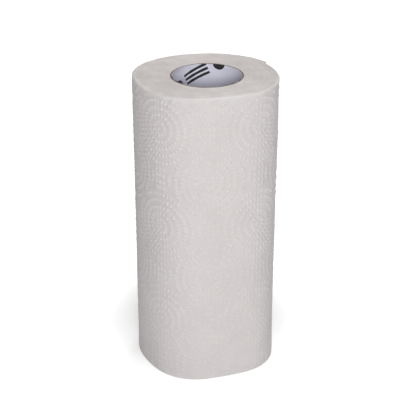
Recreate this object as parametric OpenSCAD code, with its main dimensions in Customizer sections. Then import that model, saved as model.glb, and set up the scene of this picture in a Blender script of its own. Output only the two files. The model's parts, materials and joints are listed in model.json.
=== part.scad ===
// Paper towel roll standing on its end: one embossed sheet wound on a two-ply board core.
// Millimetres, +Z up. The origin is the centre of the core's bore, on the end that the roll stands on.

/* [Roll] */
// Height of the roll, which is the width of the towel sheet
roll_h = 225; // [180:1:280]
// Mean diameter of the wound paper
roll_d = 100; // [90:1:140]
// How far packing has pressed the soft roll out of round into an oval
oval_press = 2.05; // [0:0.05:4]
// Direction of the oval's long axis, in degrees
oval_dir = 5.5; // [-90:0.5:90]
// How far packing has pressed the soft roll towards a rounded square
square_press = 1.4; // [0:0.05:3]
// Direction of the square's first corner, in degrees
square_dir = -24.5; // [-45:0.5:45]
// How far packing has pressed the soft roll towards a rounded five-sided shape
five_press = 0.4; // [0:0.05:2]
// Direction of the five-sided shape's first corner, in degrees
five_dir = -32; // [-36:0.5:36]
// Sideways shift of the outer turns against the core
shift_x = -1.05; // [-4:0.05:4]
// Front to back shift of the outer turns against the core
shift_y = 1.85; // [-4:0.05:4]

/* [Turns] */
// Lines of the winding that show on each cut end
turn_lines = 15; // [6:1:20]
// Width of the gap that shows as a line between turns
turn_gap = 0.4; // [0.2:0.05:0.6]
// Depth of that gap below the cut end
turn_gap_depth = 0.8; // [0.3:0.1:2]

/* [Tail] */
// Direction of the sheet's free edge, in degrees
tail_dir = 33; // [0:1:180]
// Height of the step at the free edge
tail_step = 1.8; // [0.4:0.1:3]
// Arc over which the loose end settles back onto the roll, in degrees
tail_arc = 30; // [20:1:120]
// Thickness of the two-ply sheet, which stands off the roll near its free edge
sheet_wall = 0.6; // [0.3:0.05:1]

/* [Core] */
// Diameter of the bore through the core
core_bore_d = 49.5; // [34:0.5:60]
// Thickness of the white inner ply
liner_wall = 0.3; // [0.2:0.05:0.8]
// Thickness of the brown outer board
board_wall = 0.95; // [0.5:0.05:2]
// Film of glue between two glued faces
glue_film = 0.05; // [0.02:0.01:0.1]

/* [Hidden] */
liner_r = core_bore_d / 2 + liner_wall;
board_bore_r = liner_r + glue_film;
board_r = board_bore_r + board_wall;
paper_bore_r = board_r + glue_film;
// Sides of the wound outline, and steps in one turn of the spiral line
outline_sides = 120;
spiral_steps = 40;
// Sides of the open gap under the tail, on the roll and on the tail
gap_sides = 6;
// The gap ends where the tail's lift is down to the sheet's own thickness
gap_arc = tail_arc * (1 - sqrt(min(1, sheet_wall / tail_step)));
// The spiral line starts this share of a turn out from the core
spiral_start = 0.6;
// How far a cutting shape runs past the face that it cuts
overrun = 1;

// Unit vector at an angle
function direction(a) = [cos(a), sin(a)];

// Radius of the pressed outline: a circle with an oval, a rounded square and a five-sided shape added to it
function pressed_r(a) =
    roll_d / 2
    + oval_press * cos(2 * (a - oval_dir))
    + square_press * cos(4 * (a - square_dir))
    + five_press * cos(5 * (a - five_dir));

// Lift of the loose end at an angle past its free edge: all of the step there, and none at the arc's end
function tail_lift(past) = past < tail_arc ? tail_step * pow(1 - past / tail_arc, 2) : 0;

// Point of the outer turn
function outer_point(a, lift = 0) = [shift_x, shift_y] + (pressed_r(a) + lift) * direction(a);

// Point of an inner turn at a share of the way from the core to the outer turn, moved out by a distance.
// The turns are round at the core and take the pressed outline towards the outside.
function turn_point(a, share, out = 0) =
    (1 - share) * paper_bore_r * direction(a) + share * outer_point(a) + out * direction(a);

// Outline of the wound paper, from the tail's free edge once round to the foot of its step
outer_turn = [
    for (i = [0 : outline_sides])
        let (past = i * 360 / outline_sides)
            outer_point(tail_dir + past, tail_lift(past))
];

// Open gap under the tail: in along the roll, and back out along the underside of the sheet
tail_gap = gap_arc == 0 ? [] : concat(
    [for (i = [1 : gap_sides]) outer_point(tail_dir + i * gap_arc / gap_sides)],
    [for (i = [gap_sides - 1 : -1 : 0])
        let (past = i * gap_arc / gap_sides)
            outer_point(tail_dir + past, tail_lift(past) - sheet_wall)]
);

// One side of the spiral line: it runs outwards from the core, clockwise from above, and ends under the tail
function spiral_side(out) = [
    for (i = [ceil(spiral_start * spiral_steps) : (turn_lines - 1) * spiral_steps])
        let (turn = i / spiral_steps)
            turn_point(tail_dir - turn * 360, turn / turn_lines, out)
];

function reversed(points) = [for (i = [len(points) - 1 : -1 : 0]) points[i]];

module spiral_line() {
    linear_extrude(turn_gap_depth + overrun)
        polygon(concat(spiral_side(turn_gap / 2), reversed(spiral_side(-turn_gap / 2))));
}

// A tube standing on the base plane, open at both ends
module tube(outer_r, inner_r, h) {
    difference() {
        cylinder(h = h, r = outer_r, $fn = 180);
        translate([0, 0, -overrun])
            cylinder(h = h + 2 * overrun, r = inner_r, $fn = 180);
    }
}

// The whole sheet, wound: its turns lie tight, so they are one solid that shows its spiral on both cut ends
module towel_paper() {
    color("#dcd8d6")
        difference() {
            linear_extrude(roll_h) polygon(concat(outer_turn, tail_gap));
            translate([0, 0, -overrun])
                cylinder(h = roll_h + 2 * overrun, r = paper_bore_r, $fn = 180);
            translate([0, 0, roll_h - turn_gap_depth]) spiral_line();
            translate([0, 0, -overrun]) spiral_line();
        }
}

// The brown board of the core, cut flush with the paper
module core_board() {
    color("#a88b73") tube(board_r, board_bore_r, roll_h);
}

// The white ply that lines the core
module core_liner() {
    color("#cfcddc") tube(liner_r, core_bore_d / 2, roll_h);
}

towel_paper();
core_board();
core_liner();
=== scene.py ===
# Paper towel roll on its end: embossed outer sheet, wound turns, board core and printed liner.
import json
import math
import bpy
import numpy as np
from mathutils import Matrix, Vector
from mathutils.geometry import delaunay_2d_cdt


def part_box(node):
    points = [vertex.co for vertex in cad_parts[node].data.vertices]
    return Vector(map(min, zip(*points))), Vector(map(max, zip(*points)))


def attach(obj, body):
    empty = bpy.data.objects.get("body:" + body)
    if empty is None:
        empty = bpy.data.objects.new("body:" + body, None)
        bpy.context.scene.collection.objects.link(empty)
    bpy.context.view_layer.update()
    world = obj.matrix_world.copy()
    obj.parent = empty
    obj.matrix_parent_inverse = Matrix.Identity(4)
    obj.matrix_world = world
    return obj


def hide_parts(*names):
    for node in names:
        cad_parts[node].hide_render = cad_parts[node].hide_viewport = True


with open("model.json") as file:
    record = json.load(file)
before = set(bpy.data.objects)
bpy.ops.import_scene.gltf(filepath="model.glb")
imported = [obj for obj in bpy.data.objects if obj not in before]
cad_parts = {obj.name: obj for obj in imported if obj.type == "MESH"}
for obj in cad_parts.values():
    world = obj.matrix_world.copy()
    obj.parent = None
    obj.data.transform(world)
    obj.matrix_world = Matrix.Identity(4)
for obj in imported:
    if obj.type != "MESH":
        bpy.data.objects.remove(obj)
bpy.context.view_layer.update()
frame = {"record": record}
scene = bpy.context.scene
scene.view_settings.view_transform = "Standard"
random = np.random.default_rng(11)

# Lengths below are millimetres until a mesh is made. The frame gives the sizes that fit other pieces.
mm = 0.001
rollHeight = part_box("towel_paper")[1].z / mm
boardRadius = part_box("core_board")[1].x / mm
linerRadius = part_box("core_liner")[1].x / mm
boreRadius = next(m for m in frame["record"]["mounts"] if m["name"] == "core_bore")["dims"]["r_mm"]
print("frame: height", round(rollHeight, 2), "board", round(boardRadius, 2), "bore", boreRadius)


# Mesh helpers

def meshPiece(name, points, faces, sharpAngle):
    # One object at the origin from whole arrays: points in millimetres, faces of one corner count
    mesh = bpy.data.meshes.new(name)
    mesh.vertices.add(len(points))
    mesh.vertices.foreach_set("co", (points * mm).astype(np.float32).ravel())
    mesh.loops.add(faces.size)
    mesh.loops.foreach_set("vertex_index", faces.astype(np.int32).ravel())
    mesh.polygons.add(len(faces))
    mesh.polygons.foreach_set("loop_start", np.arange(0, faces.size, faces.shape[1], dtype=np.int32))
    mesh.update(calc_edges=True)
    mesh.shade_smooth()
    mesh.set_sharp_from_angle(angle=math.radians(sharpAngle))
    piece = bpy.data.objects.new(name, mesh)
    scene.collection.objects.link(piece)
    return piece


def ringPiece(name, points, sharpAngle):
    # Quads of a grid that closes on itself both ways: rows run along the profile, columns round the axis
    rows, columns = points.shape[:2]
    row, column = np.meshgrid(np.arange(rows), np.arange(columns), indexing="ij")
    nextRow, nextColumn = (row + 1) % rows, (column + 1) % columns
    corners = [row * columns + column, row * columns + nextColumn,
               nextRow * columns + nextColumn, nextRow * columns + column]
    faces = np.stack(corners, axis=-1).reshape(-1, 4)
    print(name + ":", len(faces) * 2, "triangles")
    return meshPiece(name, points.reshape(-1, 3), faces, sharpAngle)


def pointValues(piece, name, values):
    # A named number on each vertex, for the piece's material
    layer = piece.data.attributes.new(name, "FLOAT", "POINT")
    layer.data.foreach_set("value", np.asarray(values, dtype=np.float32).ravel())


def cornerUv(piece, faces, uv):
    # A UV map in metres from one pair of values for each vertex
    layer = piece.data.uv_layers.new(name="unrolled")
    layer.data.foreach_set("uv", (uv * mm)[faces.ravel()].astype(np.float32).ravel())


def onCircle(turn):
    # Cosine and sine of an angle in radians
    return np.stack([np.cos(turn), np.sin(turn)], axis=-1)


def gridPoints(along, up):
    # Every pair of a place along and a place up
    return np.stack(np.meshgrid(along, up), axis=2).reshape(-1, 2)


def smoothStep(low, high, x):
    # Rises from 0 at low to 1 at high along a cubic with level ends
    t = np.clip((x - low) / (high - low), 0, 1)
    return t * t * (3 - 2 * t)


def bell(angle, facing, width):
    # Bell curve of the angle from a direction, in degrees
    return np.exp(-((np.mod(angle - facing + 180, 360) - 180) / width) ** 2)


def wander(position, perUnit, amount, count):
    # Smooth random line: random heights at even steps, joined by a cosine
    table = random.uniform(-1, 1, count + 2)
    place = np.mod(position * perUnit, count)
    step = np.floor(place).astype(int)
    blend = 0.5 - 0.5 * np.cos(np.pi * (place - step))
    return amount * (table[step] * (1 - blend) + table[(step + 1) % count] * blend)


# Section of the roll

rollShape = {
    "meanRadius": 50.0,
    # pressed out of round: corners, depth, direction of the first corner in degrees
    "presses": ((2, 2.05, 5.5), (4, 1.4, -24.5), (5, 0.4, -32.0)),
    "shift": (-1.05, 1.85),                               # outer turns against the core
    "tailDir": 33.0, "tailStep": 1.8, "tailArc": 30.0,    # free edge, its step, degrees to settle
}


def outerPoint(angle, out):
    # Circle plus a cosine of the angle for each press, moved off the core, and out by a distance
    turn = np.radians(angle)
    radius = rollShape["meanRadius"] + out
    for corners, depth, facing in rollShape["presses"]:
        radius = radius + depth * np.cos(corners * (turn - math.radians(facing)))
    return np.stack([rollShape["shift"][0] + radius * np.cos(turn),
                     rollShape["shift"][1] + radius * np.sin(turn)], axis=-1)


def tailLift(past):
    # Square of the share of the arc that is left: all of the step at the free edge, none at the arc's end
    return rollShape["tailStep"] * np.clip(1 - past / rollShape["tailArc"], 0, 1) ** 2


# Outer sheet: the last turn, embossed, from its free edge once round and on under itself

outerSheet = {
    "thickness": 0.6, "sharpAngle": 55.0,
    "underlap": 36.0, "underGap": 0.05,      # degrees that it runs on under its tail, and the gap there
    "settle": -0.1,                          # mean surface against the section
    "pathSteps": 3000,                       # of the table of lengths
    "waist": 0.3, "waistLevel": 0.4,         # sides a little hollow from end to end
    "dip": 0.3, "dipDir": 180.0,             # one side more so
    "footPush": 0.35, "footHeight": 60.0,    # foot pushed to +X
    # loose waves of a soft roll: depth, length along, length up, start
    "softWaves": ((0.1, 83.0, 210.0, 0.6), (0.09, -160.0, 71.0, 2.1), (0.06, 37.0, -95.0, 4.0)),
    "rimRadius": 1.5,                        # soft edge at both ends, a quarter circle
    "rimRows": (0.25, 0.5, 0.75),            # shares of it that have points
    "rimStep": 1.5,                          # between those points
    "rimHighlightFade": 2.2,                         # painted highlight along the rim: how far below it it fades out
    # top rim stands out, by a share that is level and the rest to one side
    "rimFlare": 0.6, "flareHeight": 9.0, "flareDir": 8.0, "flareLevel": 0.5,
    # bulges of the top rim: direction and width in degrees, depth
    "rimBulges": ((-46.0, 11.0, 1.0), (-25.0, 8.0, -0.6), (-112.0, 9.0, -0.5), (-98.0, 5.0, 0.4),
                  (112.0, 25.0, 1.2), (65.0, 9.0, -1.0), (10.0, 15.0, 0.8), (224.0, 24.0, -0.7)),
    # small waves of the top rim: waves in a turn, depth, start
    "rimWaves": ((17, 0.12, 1.0), (29, 0.1, 2.0), (43, 0.07, 0.4)),
    # top rim pressed down: direction and width in degrees, depth; how far it shows down the side and in
    "rimSlumps": ((224.0, 26.0, 1.7), (300.0, 30.0, 0.6)), "slumpDown": 7.0, "slumpIn": 9.0,
    "dotHeight": 0.7, "dotLength": 3.1, "dotWidth": 2.0, "dotVary": 0.12,
    # points of a dot: share of its size, count, share of its height, millimetres further out
    "dotRings": ((0.0, 1, 1.0, 0.0), (0.54, 6, 0.62, 0.0), (1.0, 7, 0.0, 0.0), (1.0, 6, 0.0, 0.25)),
    "footFlatter": 0.46, "footTo": 150.0,    # dots pressed flatter towards the foot
    # and on two sides: direction and width in degrees, share
    "sideFlatter": ((184.0, 24.0, 0.58), (4.0, 20.0, 0.6)),
    "ringPitch": 5.1, "dotPitch": 3.2, "rings": 6,    # of a rosette, with a dot in its middle
    # lattice of rosettes: pitch along and up, direction in degrees that it is placed from, and its place
    "rosettePitch": (75.6, 75.0), "rosetteFrom": 180.0, "rosetteAt": (44.6, 49.2),
    "rosetteColumns": (-4, 5), "rosetteRows": (-1, 4),
    "fillAlong": (-3.2, 0.0, 3.2), "fillUp": (-2.5, 2.5),    # dots where four rosettes meet
    # dots stay clear of the line between rosettes, of the edges and the perforation, and of the turn's end
    "rosetteClear": 1.3, "edgeClear": 2.9, "endClear": 0.5,
    # plain points between the dots: step, how much further in they end, and what they stay clear by
    "fillStep": 3.4, "fillEdge": 1.0, "fillClear": 2.3, "perforationClear": 1.3, "fillParts": 20,
    # perforation, at a length along the sheet, and torn teeth of the free edge
    "perforationAt": 282.0, "slit": 6.0, "tie": 1.5, "slitDepth": 0.35, "slitHalfWidth": 0.5,
    "toothPitch": 2.4, "toothDepth": 0.5, "pointsPerTooth": 4,
    "innerStep": 8.0, "innerClear": 1.0,     # points of the inner wall
    "sameCentre": 1e-6, "samePoint": 1e-7,   # differences that count as none
}


def underTail(past):
    # Below the section by what the tail above takes up: its thickness and a gap, less its lift
    return np.minimum(0, tailLift(past) - outerSheet["thickness"] - outerSheet["underGap"])


def sheetOut(past):
    # Out from the section: the tail's lift, and past a full turn the surface pressed down below the tail
    return outerSheet["settle"] + np.where(past < 360, tailLift(past), underTail(past - 360))


# Arc length along the sheet as a table of the angle past the free edge
pastTable = np.linspace(0, 360 + outerSheet["underlap"], outerSheet["pathSteps"])
pathTable = outerPoint(rollShape["tailDir"] + pastTable, sheetOut(pastTable))
lengthTable = np.concatenate([[0], np.cumsum(np.hypot(*np.diff(pathTable, axis=0).T))])
sheetLength = lengthTable[-1]
turnLength = np.interp(360.0, pastTable, lengthTable)

# How far the sheet's flat outline runs past each end of the roll, for the quarter circle of its rim
rimTurn = outerSheet["rimRadius"] * (math.pi / 2 - 1)


def pastEdge(along):
    # Degrees past the free edge at a length along the sheet
    return np.interp(along, lengthTable, pastTable)


def softWaves(along, up):
    # Sum of long slanted sines of the place on the flat sheet
    return sum(depth * np.sin(2 * np.pi * (along / lengthAlong + up / lengthUp) + start)
               for depth, lengthAlong, lengthUp, start in outerSheet["softWaves"])


def endFlare(angle):
    # The last few turns stand out at the top, most on one side: a level part and a cosine of the angle,
    # with a bell curve for each bulge and a sine for each run of small waves
    level = outerSheet["flareLevel"]
    lean = np.cos(np.radians(angle - outerSheet["flareDir"]))
    flare = outerSheet["rimFlare"] * (level + (1 - level) * lean)
    for facing, width, depth in outerSheet["rimBulges"]:
        flare = flare + depth * bell(angle, facing, width)
    for waves, depth, start in outerSheet["rimWaves"]:
        flare = flare + depth * np.sin(waves * np.radians(angle) + start)
    return flare


def rimSlump(angle):
    # Sum of bell curves: how far the top rim is pressed down
    return sum(depth * bell(angle, facing, width) for facing, width, depth in outerSheet["rimSlumps"])


def sideSection(along, profile, out):
    # Place of the sheet seen from above: the section with the tail, the flare at the top, a square law for
    # the waist and the dip, the soft waves and a given distance out, all moved to +X towards the foot
    rim = outerSheet["rimRadius"]
    middle = np.clip(profile, rim, rollHeight - rim)
    past = pastEdge(along)
    angle = rollShape["tailDir"] + past
    flare = endFlare(angle) * np.clip((middle - rollHeight) / outerSheet["flareHeight"] + 1, 0, 1) ** 2
    fromMiddle = (2 * middle / rollHeight - 1) ** 2
    waist = outerSheet["waist"] * (fromMiddle - outerSheet["waistLevel"])
    facing = np.clip(np.cos(np.radians(angle - outerSheet["dipDir"])), 0, 1) ** 2
    dip = outerSheet["dip"] * (1 - fromMiddle) * facing
    flat = outerPoint(angle, sheetOut(past) + flare + waist - dip + softWaves(along, profile) + out)
    flat[:, 0] += outerSheet["footPush"] * np.clip(1 - middle / outerSheet["footHeight"], 0, 1) ** 2
    return flat


def sheetPoint(along, profile, height):
    # Up the side and in over a quarter circle at each end, at a height off that surface. The top is pressed
    # down by the square of the share that is left of the slump's reach
    rim = outerSheet["rimRadius"]
    bend = (np.maximum(profile - (rollHeight - rim), 0) - np.maximum(rim - profile, 0)) / rim
    up = np.clip(profile, rim, rollHeight - rim) + (rim + height) * np.sin(bend)
    angle = rollShape["tailDir"] + pastEdge(along)
    up = up - rimSlump(angle) * np.clip(1 - (rollHeight - up) / outerSheet["slumpDown"], 0, 1) ** 2
    flat = sideSection(along, profile, (rim + height) * np.cos(bend) - rim)
    return np.concatenate([flat, up[:, None]], axis=1)


def sheetBorder():
    # Outline on the flat: bottom edge, hidden end, top edge, and the free edge, a triangle wave of torn teeth
    low, high = -rimTurn, rollHeight + rimTurn
    toothStep = outerSheet["toothPitch"] / outerSheet["pointsPerTooth"]
    along = np.linspace(0, sheetLength, round(sheetLength / outerSheet["rimStep"]) + 1)
    across = np.linspace(low, high, round((high - low) / toothStep) + 1)
    far = np.linspace(low, high, round((high - low) / outerSheet["innerStep"]) + 1)
    tooth = np.abs(np.mod(across / outerSheet["toothPitch"], 1) - 0.5) * 2 * outerSheet["toothDepth"]
    tooth[[0, -1]] = 0
    return np.concatenate([
        np.stack([along, np.full_like(along, low)], 1)[:-1],
        np.stack([np.full_like(far, sheetLength), far], 1)[:-1],
        np.stack([along, np.full_like(along, high)], 1)[::-1][:-1],
        np.stack([tooth, across], 1)[::-1][:-1],
    ])


def rosette():
    # One dot in the middle and rings of even dots round it, every other ring turned by half a step
    k = np.arange(outerSheet["rings"] + 1)
    counts = np.round(2 * np.pi * k * outerSheet["ringPitch"] / outerSheet["dotPitch"]).astype(int)
    counts[0] = 1
    ring = np.repeat(k, counts)
    order = np.arange(counts.sum()) - np.repeat(np.cumsum(counts) - counts, counts)
    facing = 2 * np.pi * (order + 0.5 * (ring % 2)) / counts[ring]
    return (ring * outerSheet["ringPitch"])[:, None] * onCircle(facing), facing


def rosetteCentres():
    # A staggered lattice: even columns and rows, and a second layer half a pitch further both ways
    start = np.interp(outerSheet["rosetteFrom"] - rollShape["tailDir"], pastTable, lengthTable)
    columns, rows = np.arange(*outerSheet["rosetteColumns"]), np.arange(*outerSheet["rosetteRows"])
    column, row, layer = [g.ravel() for g in np.meshgrid(columns, rows, [0, 0.5])]
    pitchAlong, pitchUp = outerSheet["rosettePitch"]
    return np.stack([start + outerSheet["rosetteAt"][0] + (column + layer) * pitchAlong,
                     outerSheet["rosetteAt"][1] + (row + layer) * pitchUp], axis=1)


def dotCentres():
    # A rosette at each centre, with a dot kept where its own centre is the nearest one.
    # A few upright dots fill each place between.
    offsets, facing = rosette()
    centres = rosetteCentres()
    dots = (centres[:, None] + offsets[None]).reshape(-1, 2)
    facings = np.broadcast_to(facing, (len(centres), len(facing))).ravel()
    away = np.linalg.norm(dots[:, None] - centres[None], axis=2)
    own = np.repeat(np.arange(len(centres)), len(facing))
    near = np.sort(away, axis=1)
    keep = away[np.arange(len(dots)), own] <= near[:, 0] + outerSheet["sameCentre"]
    keep &= near[:, 1] - near[:, 0] > 2 * outerSheet["rosetteClear"]
    grid = gridPoints(outerSheet["fillAlong"], outerSheet["fillUp"])
    between = ((centres + [outerSheet["rosettePitch"][0] / 2, 0])[:, None] + grid[None]).reshape(-1, 2)
    dots = np.concatenate([dots[keep], between])
    facings = np.concatenate([facings[keep], np.full(len(between), np.pi / 2)])
    clear = outerSheet["edgeClear"]
    keep = (dots[:, 0] > clear) & (dots[:, 0] < turnLength - outerSheet["endClear"])
    keep &= (dots[:, 1] > clear) & (dots[:, 1] < rollHeight - clear)
    keep &= np.abs(dots[:, 0] - outerSheet["perforationAt"]) > clear
    return dots[keep], facings[keep]


def dotPoints(centres, facings):
    # Each dot is a low oval dome, long towards its ring's centre: a top, a ring half way down, a rim, and
    # level points just outside it that keep the paper beside it flat
    share, count, top, beyond = np.array(outerSheet["dotRings"]).T
    count = count.astype(int)
    size, high, more = np.repeat(share, count), np.repeat(top, count), np.repeat(beyond, count)
    turn = np.concatenate([2 * np.pi * (np.arange(n) + 0.5) / n for n in count])
    vary = 1 + outerSheet["dotVary"] * random.uniform(-1, 1, (len(centres), 1))
    long = np.cos(turn) * (size * outerSheet["dotLength"] / 2 * vary + more)
    wide = np.sin(turn) * (size * outerSheet["dotWidth"] / 2 * vary + more)
    c, s = np.cos(facings)[:, None], np.sin(facings)[:, None]
    flat = np.stack([centres[:, :1] + long * c - wide * s, centres[:, 1:] + long * s + wide * c], axis=2)
    raised = np.broadcast_to(high, long.shape) * vary
    return flat.reshape(-1, 2), raised.ravel()


def perforationPoints():
    # Three lines across the sheet; the middle one dips at each slit and is level at each tie
    up = np.arange(outerSheet["edgeClear"], rollHeight - outerSheet["edgeClear"], outerSheet["tie"] / 2)
    beside = np.array([-1, 0, 1]) * outerSheet["slitHalfWidth"]
    cut = np.mod(up, outerSheet["slit"] + outerSheet["tie"]) < outerSheet["slit"]
    dips = (cut[:, None] * np.array([0, 1, 0])).astype(float).ravel()
    return gridPoints(outerSheet["perforationAt"] + beside, up), dips


def fillPoints(centres):
    # Even points over the turn, kept only where neither a dot nor the perforation is near
    step, edge = outerSheet["fillStep"], outerSheet["edgeClear"] + outerSheet["fillEdge"]
    flat = gridPoints(np.arange(step, turnLength, step), np.arange(edge, rollHeight - edge, step))
    flat = flat.astype(np.float32)
    near = np.concatenate([
        np.linalg.norm(some[:, None] - centres[None].astype(np.float32), axis=2).min(axis=1)
        for some in np.array_split(flat, outerSheet["fillParts"])
    ])
    keep = near > outerSheet["fillClear"]
    keep &= np.abs(flat[:, 0] - outerSheet["perforationAt"]) > outerSheet["perforationClear"]
    return flat[keep].astype(float)


def flatRows(profiles, step, skip=0.0):
    # Even points along the sheet at each given height on its profile
    return gridPoints(np.arange(step + skip, sheetLength - step / 2, step), profiles)


def flattened(raised, flat):
    # Dots pressed flatter by a smooth step of the height, towards the foot, and by a bell curve on each side
    raised = raised * (1 - outerSheet["footFlatter"] * (1 - smoothStep(0, outerSheet["footTo"], flat[:, 1])))
    angle = rollShape["tailDir"] + pastEdge(flat[:, 0])
    for facing, width, flatter in outerSheet["sideFlatter"]:
        raised = raised * (1 - flatter * bell(angle, facing, width))
    return raised


def triangles(flat, borderCount):
    # Delaunay triangles of the flat points inside the border, which is the first of them in order
    insideBorder = 1
    border = list(range(borderCount))
    made = delaunay_2d_cdt(flat.tolist(), [], [border], insideBorder, outerSheet["samePoint"])
    if len(made[0]) != len(flat):
        raise RuntimeError("flat points fell together")
    return np.array(made[2])


def edgeTriangles(count, offset):
    # Two triangles for each step of a border that the outer and the inner wall share
    here = np.arange(count)
    there = np.roll(here, -1)
    return np.concatenate([np.stack([here, here + offset, there + offset], 1),
                           np.stack([here, there + offset, there], 1)])


def buildOuterSheet():
    # Flat points, each at a height off the sheet, joined by triangles. The inner wall lies one thickness
    # below, with the same border and few points of its own. Both are then wound round the section
    rim, step, clear = outerSheet["rimRadius"], outerSheet["innerStep"], outerSheet["innerClear"]
    reach = rim * math.pi / 2
    turnIn = rim - reach * np.array(outerSheet["rimRows"])
    sideRows = np.concatenate([turnIn, [rim], rollHeight - turnIn, [rollHeight - rim]])
    underRows = np.arange(step, rollHeight - clear, step)
    border = sheetBorder()
    centres, facings = dotCentres()
    dotFlat, dotRaised = dotPoints(centres, facings)
    slitFlat, slitDip = perforationPoints()
    plain = np.concatenate([flatRows(sideRows, outerSheet["rimStep"]), flatRows(underRows, step, turnLength),
                            fillPoints(centres)])
    flat = np.concatenate([border, dotFlat, slitFlat, plain])
    raised = np.concatenate([np.zeros(len(border)), dotRaised, np.zeros(len(slitFlat) + len(plain))])
    raised = flattened(raised, flat)
    slits = np.concatenate([np.zeros(len(border) + len(dotFlat)), slitDip, np.zeros(len(plain))])
    height = raised * outerSheet["dotHeight"] - slits * outerSheet["slitDepth"]
    innerRows = np.concatenate([turnIn[:1], [rim + clear], underRows,
                                [rollHeight - rim - clear], rollHeight - turnIn[:1]])
    innerFlat = np.concatenate([border, flatRows(innerRows, step)])
    inside = triangles(innerFlat, len(border))[:, ::-1] + len(flat)
    faces = np.concatenate([triangles(flat, len(border)), inside, edgeTriangles(len(border), len(flat))])
    allFlat = np.concatenate([flat, innerFlat])
    allHeight = np.concatenate([height, np.full(len(innerFlat), -outerSheet["thickness"])])
    points = sheetPoint(allFlat[:, 0], allFlat[:, 1], allHeight)
    piece = meshPiece("outer_sheet", points, faces, outerSheet["sharpAngle"])
    cornerUv(piece, faces, allFlat)
    pad = np.zeros(len(innerFlat))
    pointValues(piece, "raised", np.concatenate([raised, pad]))
    pointValues(piece, "slit", np.concatenate([slits, pad]))
    fromEnd = np.minimum(allFlat[:, 1], rollHeight - allFlat[:, 1])
    # Share of the painted rim highlight: full at the rim, gone by the fade below it
    pointValues(piece, "paintedRimHighlight", 1 - smoothStep(rim - reach, rim + outerSheet["rimHighlightFade"], fromEnd))
    print("outer_sheet:", len(centres), "dots,", len(faces), "triangles")
    return piece


# Wound turns: the body under the outer sheet, with the edges of its turns on both ends

woundTurns = {
    "turns": 36, "stepsPerTurn": 4, "columns": 200, "sharpAngle": 60.0,
    "crown": 0.13, "crownPower": 0.7,    # height of a turn's edge above the line beside it, and its roundness
    "uneven": 0.1,                       # turns pushed up and down along the winding, quickly and slowly
    "pushesPerTurn": 9, "slowPerTurn": 2.3, "slowHeights": 108,
    "faceDrop": 0.12,                    # ends against the sheet's soft rim
    "underFade": (-2.0, 4.0),            # degrees, about the end of the underlap, in which the body fills out
    "wallInset": 2.4, "ledgeDrop": 0.9, "ledgeSlope": 0.4,    # hidden step under the sheet's rim
    "glueFilm": 0.05,
}


def woundFace(angle, share):
    # Height of an end's surface: a rounded edge for each turn of the spiral, pushed up and down at random
    past = (angle - rollShape["tailDir"]) / 360
    turn = share * woundTurns["turns"] + past
    index = np.floor(turn)
    sheetPlace = index - past
    crown = woundTurns["crown"] * (np.abs(np.sin(np.pi * (turn - index))) ** woundTurns["crownPower"] - 1)
    perTurn, amount = woundTurns["pushesPerTurn"], woundTurns["uneven"]
    push = wander(sheetPlace, perTurn, amount, perTurn * woundTurns["turns"])
    slow = wander(sheetPlace, woundTurns["slowPerTurn"], amount, woundTurns["slowHeights"])
    return crown + push + slow - woundTurns["faceDrop"], push / amount


def buildWoundTurns():
    # A closed ring. Each end is a straight blend from the core's circle to the sheet's turned-in rim, with
    # the turns' edges on it, and then a ledge and a wall that the sheet hides
    columns, count = woundTurns["columns"], woundTurns["turns"] * woundTurns["stepsPerTurn"]
    angle = rollShape["tailDir"] + np.arange(columns) * 360 / columns
    past = angle - rollShape["tailDir"]
    share = np.linspace(0, 1, count)[:, None]
    # The body gives way to the sheet that runs on under the tail
    fadeFrom, fadeTo = [outerSheet["underlap"] + degrees for degrees in woundTurns["underFade"]]
    under = underTail(past) * (1 - smoothStep(fadeFrom, fadeTo, past))
    core = (boardRadius + woundTurns["glueFilm"]) * onCircle(np.radians(angle))
    wall = outerPoint(angle, under - woundTurns["wallInset"])
    along = np.interp(past, pastTable, lengthTable)
    rows, tones = [], []
    for onTop in (False, True):
        profile = np.full(columns, rollHeight + rimTurn if onTop else -rimTurn)
        edge = sideSection(along, profile, under - tailLift(past) - outerSheet["rimRadius"])
        face = core[None] * (1 - share[..., None]) + edge[None] * share[..., None]
        high, tone = woundFace(angle[None], share)
        if onTop:
            inward = np.linalg.norm(edge - core, axis=1) * (1 - share)
            pressed = rimSlump(angle) * np.clip(1 - inward / outerSheet["slumpIn"], 0, 1) ** 2
            level = rollHeight + high - pressed
            ledge = rollHeight - woundTurns["ledgeDrop"] - rimSlump(angle)
            foot = ledge - woundTurns["ledgeSlope"]
        else:
            level = np.maximum(-high, 0)
            ledge = np.full(columns, woundTurns["ledgeDrop"])
            foot = ledge + woundTurns["ledgeSlope"]
        flat = np.concatenate([face, [edge, wall]])
        up = np.concatenate([level, [ledge, foot]])
        whole = np.concatenate([flat, up[..., None]], axis=2)
        tone = np.concatenate([tone, np.zeros((2, columns))])
        rows.append(whole[::-1] if onTop else whole)
        tones.append(tone[::-1] if onTop else tone)
    piece = ringPiece("wound_turns", np.concatenate(rows), woundTurns["sharpAngle"])
    pointValues(piece, "streak", np.concatenate(tones) * 0.5 + 0.5)
    return piece


# Core board: the brown tube, cut a little rough at both ends

coreBoard = {
    "columns": 240, "acrossEnd": 7, "sharpAngle": 50.0,
    "rough": 0.1, "cutWave": 0.08, "wavesPerTurn": 14, "edgeRound": 0.12,
    "innerGap": 0.05,
}


def cutWaves(tube, turn):
    # A smooth random line for the cut at each of a tube's two ends, by the share of a turn
    perTurn = tube["wavesPerTurn"]
    return [wander(turn, perTurn, tube["cutWave"], perTurn) for end in range(2)]


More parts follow.
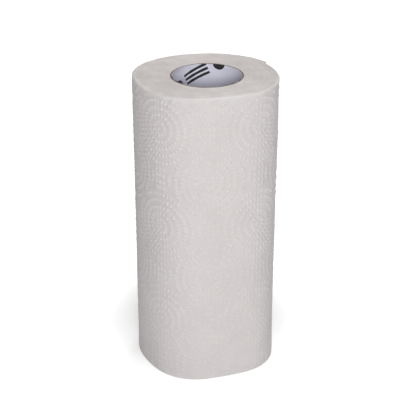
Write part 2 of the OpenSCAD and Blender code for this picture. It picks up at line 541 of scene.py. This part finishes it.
def buildCoreBoard():
    # A closed ring: top cut inwards, inner wall down, base cut outwards, and the outer wall back up
    columns = coreBoard["columns"]
    angle = np.arange(columns) * 2 * np.pi / columns
    across = np.linspace(boardRadius, linerRadius + coreBoard["innerGap"], coreBoard["acrossEnd"])
    dip = np.zeros_like(across)
    dip[[0, -1]] = coreBoard["edgeRound"]
    rough = random.uniform(-1, 1, (2, len(across), columns)) * coreBoard["rough"]
    wave = cutWaves(coreBoard, angle / (2 * np.pi))
    topLevel = rollHeight - dip[:, None] - np.abs(rough[0]) + wave[0]
    baseLevel = dip[:, None] + np.abs(rough[1]) + wave[1] - wave[1].min()
    level = np.concatenate([topLevel, baseLevel[::-1]])
    radius = np.concatenate([across, across[::-1]])[:, None]
    flat = radius[..., None] * onCircle(angle)[None]
    points = np.concatenate([flat, level[..., None]], axis=2)
    return ringPiece("core_tube", points, coreBoard["sharpAngle"])


# Core liner: the white ply inside, a strip wound at a slant with its edge lapped over the turn before

coreLiner = {
    "columns": 180, "rows": 64, "sharpAngle": 30.0,
    "slant": 24.0,                            # of the strip and its print, in degrees
    "alongRepeats": 4, "acrossRepeats": 3,    # of the print, once round
    "lap": 0.14, "lapFade": 60.0,             # thickness of the lapped edge, degrees over which it fades
    "cutWave": 0.1, "wavesPerTurn": 12,
    "boreClear": 0.02,                        # of the lapped edge, off the bore
}


def buildCoreLiner():
    # A closed ring sheared along the strip's slant, so that the lapped edge follows one column of the grid
    columns, rows = coreLiner["columns"], coreLiner["rows"]
    wound = np.arange(columns) * 360 / columns
    level = np.linspace(0, 1, rows)[:, None]
    wave = cutWaves(coreLiner, wound / 360)
    up = (wave[0] - wave[0].min()) * (1 - level) + (rollHeight + wave[1] - wave[1].max()) * level
    turn = np.radians(wound)[None] - up / (boreRadius * math.tan(math.radians(coreLiner["slant"])))
    lap = coreLiner["lap"] * np.clip(1 - wound / coreLiner["lapFade"], 0, 1)
    inner = np.broadcast_to(boreRadius + coreLiner["boreClear"] + coreLiner["lap"] - lap, turn.shape)
    outer = np.full(turn.shape, linerRadius)
    # Down the inside, then up the outside
    radius = np.concatenate([inner[::-1], outer])
    allTurn = np.concatenate([turn[::-1], turn])
    allUp = np.concatenate([up[::-1], up])
    points = np.stack([radius * np.cos(allTurn), radius * np.sin(allTurn), allUp], axis=2)
    return ringPiece("core_lining", points, coreLiner["sharpAngle"])


# Material helpers

def linear(red, green, blue):
    # Display colour from 0 to 255 to a linear one, along the standard display curve
    value = np.array([red, green, blue]) / 255
    value = np.where(value <= 0.04045, value / 12.92, ((value + 0.055) / 1.055) ** 2.4)
    return (*[float(v) for v in value], 1.0)


class Shade:
    # A node tree with short calls for the nodes that these materials use
    def __init__(self, tree):
        self.tree = tree

    def set(self, socket, value):
        # A link from another node, or a plain value
        if isinstance(value, bpy.types.NodeSocket):
            self.tree.links.new(value, socket)
        else:
            socket.default_value = value

    def node(self, kind, inputs=None, **settings):
        # A node with its settings, and its inputs by name or number
        made = self.tree.nodes.new(kind)
        for name, value in settings.items():
            setattr(made, name, value)
        for name, value in (inputs or {}).items():
            self.set(made.inputs[name], value)
        return made

    def math(self, operation, *values):
        # One operation on up to three values
        return self.node("ShaderNodeMath", dict(enumerate(values)), operation=operation).outputs[0]

    def vectorMath(self, operation, *values):
        # Length and distance put out a value, other operations a vector
        made = self.node("ShaderNodeVectorMath", dict(enumerate(values)), operation=operation)
        return made.outputs["Value" if operation in ("LENGTH", "DISTANCE") else "Vector"]

    def mix(self, factor, first, second, blend="MIX"):
        # From the first colour to the second one by the factor
        inputs = {"Factor": factor, 6: first, 7: second}
        return self.node("ShaderNodeMix", inputs, data_type="RGBA", blend_type=blend).outputs[2]

    def span(self, value, low, high, toLow=0.0, toHigh=1.0, smooth=False):
        # Low to high onto another range, held at its ends, straight or along a smooth step
        inputs = dict(enumerate((value, low, high, toLow, toHigh)))
        kind = "SMOOTHSTEP" if smooth else "LINEAR"
        return self.node("ShaderNodeMapRange", inputs, interpolation_type=kind).outputs[0]

    def noise(self, place, scale, detail, roughness):
        # A smooth random value from 0 to 1 at a place
        inputs = {"Vector": place, "Scale": scale, "Detail": detail, "Roughness": roughness}
        return self.node("ShaderNodeTexNoise", inputs).outputs["Fac"]

    def stretched(self, place, scale):
        # A place times a scale on each axis
        return self.node("ShaderNodeMapping", {"Vector": place, "Scale": scale}).outputs[0]

    def grey(self, value):
        # One value as red, green and blue
        return self.node("ShaderNodeCombineColor", {0: value, 1: value, 2: value}).outputs[0]

    def objectPlace(self):
        # Metres from the piece's origin
        return self.node("ShaderNodeTexCoord").outputs["Object"]

    def unrolledPlace(self):
        # Metres along and up the flat sheet
        return self.node("ShaderNodeUVMap", uv_map="unrolled").outputs[0]

    def value(self, name):
        # A number that the mesh has on each vertex
        return self.node("ShaderNodeAttribute", attribute_name=name).outputs["Fac"]

    def bump(self, height, strength, distance):
        # A normal turned by the slope of the height
        inputs = {"Strength": strength, "Distance": distance, "Height": height}
        return self.node("ShaderNodeBump", inputs).outputs[0]

    def seenRay(self):
        # One for a ray from the camera, off gloss or through glass, and none for others
        path = self.node("ShaderNodeLightPath").outputs
        bounced = self.math("MAXIMUM", path["Is Glossy Ray"], path["Is Transmission Ray"])
        return self.math("MAXIMUM", path["Is Camera Ray"], bounced)


# Values that all the papers share
paperLook = {
    "specular": 0.25,
    "fibreDetail": 4.0, "fibreRoughness": 0.7, "cloudDetail": 2.0, "cloudRoughness": 0.5,
    "toneFrom": 0.3, "toneTo": 0.7,    # stretch of the noise that the tone takes up
}


def paperFibreGroup():
    # Shared look of paper: a noise of fine fibres for the height, mixed with a slow cloudy one for the tone
    group = bpy.data.node_groups.new("paperFibre", "ShaderNodeTree")
    for name, kind in (("Place", "NodeSocketVector"), ("Fibre Scale", "NodeSocketFloat"),
                       ("Cloud Scale", "NodeSocketFloat"), ("Cloud Share", "NodeSocketFloat")):
        group.interface.new_socket(name, in_out="INPUT", socket_type=kind)
    for name in ("Tone", "Height"):
        group.interface.new_socket(name, in_out="OUTPUT", socket_type="NodeSocketFloat")
    look = paperLook
    shade = Shade(group)
    given = shade.node("NodeGroupInput").outputs
    fibre = shade.noise(given["Place"], given["Fibre Scale"], look["fibreDetail"], look["fibreRoughness"])
    cloud = shade.noise(given["Place"], given["Cloud Scale"], look["cloudDetail"], look["cloudRoughness"])
    inputs = {"Factor": given["Cloud Share"], 2: fibre, 3: cloud}
    mixed = shade.node("ShaderNodeMix", inputs, data_type="FLOAT").outputs[0]
    tone = shade.span(mixed, look["toneFrom"], look["toneTo"])
    shade.node("NodeGroupOutput", {"Tone": tone, "Height": fibre})
    return group


paperFibre = paperFibreGroup()


def startPaper(name, look):
    # A Principled shader with its plain values on its own sockets
    material = bpy.data.materials.new(name)
    material.use_nodes = True
    shader = material.node_tree.nodes["Principled BSDF"]
    shader.inputs["Roughness"].default_value = look["roughness"]
    shader.inputs["Specular IOR Level"].default_value = paperLook["specular"]
    shader.inputs["Sheen Weight"].default_value = look["sheen"]
    return material, Shade(material.node_tree), shader


def fibres(shade, place, look):
    # Tone from 0 to 1 and height of the shared fibres, at this paper's own scales
    inputs = {"Place": place, "Fibre Scale": look["fibreScale"],
              "Cloud Scale": look["cloudScale"], "Cloud Share": look["cloudShare"]}
    made = shade.node("ShaderNodeGroup", inputs, node_tree=paperFibre)
    return made.outputs["Tone"], made.outputs["Height"]


def finishPaper(shade, shader, look, colour, relief):
    # Colour and a bump of the relief, onto the shader
    shade.set(shader.inputs["Base Color"], colour)
    shade.set(shader.inputs["Normal"], shade.bump(relief, look["bump"], look["bumpDepth"]))


tissueLook = {
    "valleyShade": (225, 220, 219), "crestHighlight": (233, 229, 228), "slit": (176, 170, 166), "paintedRimHighlight": (236, 232, 231),
    "roughness": 0.95, "sheen": 0.08,
    "fibreScale": 1400.0, "cloudScale": 45.0, "cloudShare": 0.6, "cloudDarker": 0.07,
    "crepe": (1500.0, 320.0, 1.0), "crepeShare": 0.6, "crepeDetail": 2.0, "crepeRoughness": 0.6,
    "bump": 0.35, "bumpDepth": 0.00025,
}


def embossedTissue():
    # Painted shade in the valleys to a painted highlight on the crests by the raised dots, paler at the rim
    # by a painted highlight, times the clouds, and darker at the slits.
    # The relief is the fibres plus a creping noise that is drawn out up the roll
    look = tissueLook
    material, shade, shader = startPaper("embossedTissue", look)
    tone, height = fibres(shade, shade.objectPlace(), look)
    # Dot tops painted paler as a painted highlight, and the paper between them a little darker as painted
    # shade
    paper = shade.mix(shade.value("raised"), linear(*look["valleyShade"]), linear(*look["crestHighlight"]))
    # A pale band along the rim is a painted highlight
    paper = shade.mix(shade.value("paintedRimHighlight"), paper, linear(*look["paintedRimHighlight"]))
    darker = shade.span(tone, 0.0, 1.0, 1 - look["cloudDarker"], 1.0)
    paper = shade.mix(1.0, paper, shade.grey(darker), "MULTIPLY")
    paper = shade.mix(shade.value("slit"), paper, linear(*look["slit"]))
    crepePlace = shade.stretched(shade.unrolledPlace(), look["crepe"])
    crepe = shade.noise(crepePlace, 1.0, look["crepeDetail"], look["crepeRoughness"])
    relief = shade.math("MULTIPLY_ADD", crepe, look["crepeShare"], height)
    finishPaper(shade, shader, look, paper, relief)
    return material


edgeLook = {
    "shadow": (213, 207, 204), "light": (243, 237, 235),
    "roughness": 0.97, "sheen": 0.0,
    "fibreScale": 900.0, "cloudScale": 110.0, "cloudShare": 0.55, "streakShare": 0.25,
    "bump": 0.5, "bumpDepth": 0.0004,
}


def cutTissue():
    # Shadow to light by a weighted sum of the fibres' tone and the streak of each turn
    look = edgeLook
    material, shade, shader = startPaper("cutTissue", look)
    tone, height = fibres(shade, shade.objectPlace(), look)
    streak = shade.math("MULTIPLY", shade.value("streak"), look["streakShare"])
    blend = shade.math("MULTIPLY_ADD", tone, 1 - look["streakShare"], streak)
    colour = shade.mix(blend, linear(*look["shadow"]), linear(*look["light"]))
    finishPaper(shade, shader, look, colour, height)
    return material


kraftLook = {
    "dark": (92, 72, 60), "light": (142, 120, 104),
    "roughness": 0.9, "sheen": 0.0,
    "fibreScale": 1100.0, "cloudScale": 120.0, "cloudShare": 0.4,
    "plyPitch": 0.00032, "plyShare": 0.5, "bump": 0.4, "bumpDepth": 0.0002,
}


def kraftBoard():
    # Dark to light by the fibres' tone and by plies, which show as rings on the cut: a sine of the distance
    # from the axis
    look = kraftLook
    material, shade, shader = startPaper("kraftBoard", look)
    place = shade.objectPlace()
    tone, height = fibres(shade, place, look)
    away = shade.vectorMath("LENGTH", shade.vectorMath("MULTIPLY", place, (1.0, 1.0, 0.0)))
    wave = shade.math("SINE", shade.math("MULTIPLY", away, 2 * math.pi / look["plyPitch"]))
    ply = shade.span(wave, -1.0, 1.0)
    fleck = shade.math("MULTIPLY", tone, 1 - look["plyShare"])
    blend = shade.math("MULTIPLY_ADD", ply, look["plyShare"], fleck)
    colour = shade.mix(blend, linear(*look["dark"]), linear(*look["light"]))
    finishPaper(shade, shader, look, colour, height)
    return material


linerLook = {
    "paper": (235, 234, 247), "shade": (223, 222, 236), "ink": (20, 19, 21),
    "roughness": 0.75, "sheen": 0.0,
    "fibreScale": 1300.0, "cloudScale": 90.0, "cloudShare": 0.4,
    "shift": (14.0, 3.0),                       # print along and across its rows
    "discRadius": 4.6, "discAt": (0.2, 0.5),    # shares of the print's repeat along and across
    "barFrom": 0.42, "barTo": 0.95, "barRows": (0.34, 0.5, 0.66), "barHalf": 1.0,
    "inkEdge": 0.12, "inkWear": 0.05,
    "bump": 0.25, "bumpDepth": 0.00015,
}


def linerPrint(shade, place, look):
    # Black discs and groups of three bars in slanted rows that close on themselves round the core: the arc
    # and the height are turned by the slant, and ink is where the distance from a shape's middle is small
    slant = math.radians(coreLiner["slant"])
    girth = 2 * math.pi * boreRadius
    alongPitch = girth * math.cos(slant) / coreLiner["alongRepeats"]
    acrossPitch = girth * math.sin(slant) / coreLiner["acrossRepeats"]
    x, y, z = shade.node("ShaderNodeSeparateXYZ", {0: place}).outputs
    arc = shade.math("MULTIPLY", shade.math("ARCTAN2", y, x), boreRadius)
    up = shade.math("MULTIPLY", z, 1 / mm)

    def turned(upShare, arcShare, shift):
        # The height and the arc times their shares, and a shift
        return shade.math("MULTIPLY_ADD", up, upShare, shade.math("MULTIPLY_ADD", arc, arcShare, shift))

    def repeated(value, pitch):
        # What is left over after whole repeats
        share = shade.math("FLOORED_MODULO", shade.math("DIVIDE", value, pitch), 1.0)
        return shade.math("MULTIPLY", share, pitch)

    def inside(distance, half):
        # One within half of a line, fading to none over the ink's edge
        return shade.span(distance, half - look["inkEdge"], half + look["inkEdge"], 1.0, 0.0, True)

    def apart(value, centre):
        # Size of the difference
        return shade.math("ABSOLUTE", shade.math("SUBTRACT", value, centre))

    # Seen from inside, the rows climb as the angle falls
    u = repeated(turned(math.sin(slant), -math.cos(slant), look["shift"][0]), alongPitch)
    v = repeated(turned(math.cos(slant), math.sin(slant), look["shift"][1]), acrossPitch)
    du = apart(u, look["discAt"][0] * alongPitch)
    dv = apart(v, look["discAt"][1] * acrossPitch)
    fromDisc = shade.math("SQRT", shade.math("MULTIPLY_ADD", du, du, shade.math("MULTIPLY", dv, dv)))
    ink = inside(fromDisc, look["discRadius"])
    barMiddle = (look["barFrom"] + look["barTo"]) / 2 * alongPitch
    barHalfLength = (look["barTo"] - look["barFrom"]) / 2 * alongPitch
    barLength = inside(apart(u, barMiddle), barHalfLength)
    for row in look["barRows"]:
        bar = shade.math("MULTIPLY", inside(apart(v, row * acrossPitch), look["barHalf"]), barLength)
        ink = shade.math("MAXIMUM", ink, bar)
    return ink


def printedLiner():
    # Shade to paper by the fibres' tone, and on to ink where the print is, a little worn by the same tone
    look = linerLook
    material, shade, shader = startPaper("printedLiner", look)
    place = shade.objectPlace()
    tone, height = fibres(shade, place, look)
    worn = shade.span(tone, 0.0, 1.0, 1 - look["inkWear"], 1.0)
    ink = shade.math("MULTIPLY", linerPrint(shade, place, look), worn)
    paper = shade.mix(tone, linear(*look["shade"]), linear(*look["paper"]))
    finishPaper(shade, shader, look, shade.mix(ink, paper, linear(*look["ink"])), height)
    return material


# Pieces on the frame

def dress(piece, material):
    # Material and body of a piece
    piece.data.materials.append(material)
    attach(piece, "root")
    return piece


outerPiece = dress(buildOuterSheet(), embossedTissue())
dress(buildWoundTurns(), cutTissue())
boardPiece = dress(buildCoreBoard(), kraftBoard())
linerPiece = dress(buildCoreLiner(), printedLiner())
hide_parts("towel_paper")
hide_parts("core_board")
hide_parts("core_liner")


# Floor, light and camera

studio = {
    "floorHalf": 4.0, "floorSharp": 40.0, "floorColour": (218, 218, 218),
    # glow of the floor, lower near the roll as a painted shadow: that painted shadow's centre, then distances
    # from there in metres with their strengths
    "paintedShadowCentre": (-0.005, 0.048, 0.0), "glowFrom": 0.050, "glowTo": 0.098, "paintedShadowGlow": 0.27, "farGlow": 0.75,
    "whiteFrom": 0.3, "whiteTo": 1.2, "whiteGlow": 1.0,
    "worldLight": 0.235,
    # name, place in metres, aim height, size in metres, power in watts
    "lamps": (
        ("keyLamp", (0.13, -2.6, 1.0), 0.10, 0.8, 43.0),
        ("overLamp", (0.3, 0.7, 2.75), 0.15, 0.9, 17.5),
        ("backLamp", (0.9, 2.55, 1.2), 0.10, 1.2, 17.0),
    ),
}


def buildFloor():
    # One level square; to the camera it also glows, more so away from one place beside the roll, so that it
    # is white with the roll's soft shadow on it, deepened near that place by a painted shadow
    half = studio["floorHalf"] / mm
    points = np.array([[-half, -half, 0], [half, -half, 0], [half, half, 0], [-half, half, 0]])
    floor = meshPiece("floor", points, np.array([[0, 1, 2, 3]]), studio["floorSharp"])
    material = bpy.data.materials.new("paleFloor")
    material.use_nodes = True
    material.node_tree.nodes.clear()
    shade = Shade(material.node_tree)
    away = shade.vectorMath("DISTANCE", shade.objectPlace(), studio["paintedShadowCentre"])
    # Less glow near the roll: a painted shadow
    near = shade.span(away, studio["glowFrom"], studio["glowTo"], studio["paintedShadowGlow"], studio["farGlow"])
    far = shade.span(away, studio["whiteFrom"], studio["whiteTo"], 0.0, studio["whiteGlow"])
    strength = shade.math("MULTIPLY", shade.seenRay(), shade.math("MAXIMUM", near, far))
    diffuse = shade.node("ShaderNodeBsdfDiffuse", {"Color": linear(*studio["floorColour"])})
    glow = shade.node("ShaderNodeEmission", {"Strength": strength})
    both = shade.node("ShaderNodeAddShader", {0: diffuse.outputs[0], 1: glow.outputs[0]})
    shade.node("ShaderNodeOutputMaterial", {"Surface": both.outputs[0]})
    floor.data.materials.append(material)


def buildWorld():
    # Even pale light, and plain white where the camera sees past the floor
    world = bpy.data.worlds.new("studioWorld")
    scene.world = world
    world.use_nodes = True
    world.node_tree.nodes.clear()
    shade = Shade(world.node_tree)
    strength = shade.span(shade.seenRay(), 0.0, 1.0, studio["worldLight"], 1.0)
    back = shade.node("ShaderNodeBackground", {"Color": (1, 1, 1, 1), "Strength": strength})
    shade.node("ShaderNodeOutputWorld", {"Surface": back.outputs[0]})


def buildLamps():
    # Discs of light, each turned to a point on the roll's axis
    for name, place, aimHeight, size, power in studio["lamps"]:
        lamp = bpy.data.lights.new(name, "AREA")
        lamp.shape = "DISK"
        lamp.size = size
        lamp.energy = power
        holder = bpy.data.objects.new(name, lamp)
        scene.collection.objects.link(holder)
        holder.location = place
        aim = Vector((0, 0, aimHeight)) - Vector(place)
        holder.rotation_euler = aim.to_track_quat("-Z", "Y").to_euler()


photoView = {
    "aim": (0.00098, 0.0, 0.1211), "distance": 0.878, "pitchDown": 25.627, "roll": 0.196,
    "focalPixels": 1182.4, "framePixels": 416, "sensor": 36.0, "clip": (0.01, 50.0),
}


def buildCamera():
    # Looks along +Y and down by the pitch, with the frame tilted by the roll
    view = photoView
    camera = bpy.data.cameras.new("photoCamera")
    camera.sensor_width = view["sensor"]
    camera.lens = view["focalPixels"] / view["framePixels"] * view["sensor"]
    camera.clip_start, camera.clip_end = view["clip"]
    holder = bpy.data.objects.new("photoCamera", camera)
    scene.collection.objects.link(holder)
    pitch, roll = math.radians(view["pitchDown"]), math.radians(view["roll"])
    back = Vector((0, -math.cos(pitch), math.sin(pitch)))
    right, up = Vector((1, 0, 0)), Vector((0, math.sin(pitch), math.cos(pitch)))
    tiltedRight = right * math.cos(roll) + up * math.sin(roll)
    tiltedUp = up * math.cos(roll) - right * math.sin(roll)
    turn = Matrix((tiltedRight, tiltedUp, back)).transposed().to_4x4()
    holder.matrix_world = Matrix.Translation(Vector(view["aim"]) + back * view["distance"]) @ turn
    scene.camera = holder


buildFloor()
buildWorld()
buildLamps()
buildCamera()
print("studio: floor, world,", len(studio["lamps"]), "lamps and camera")
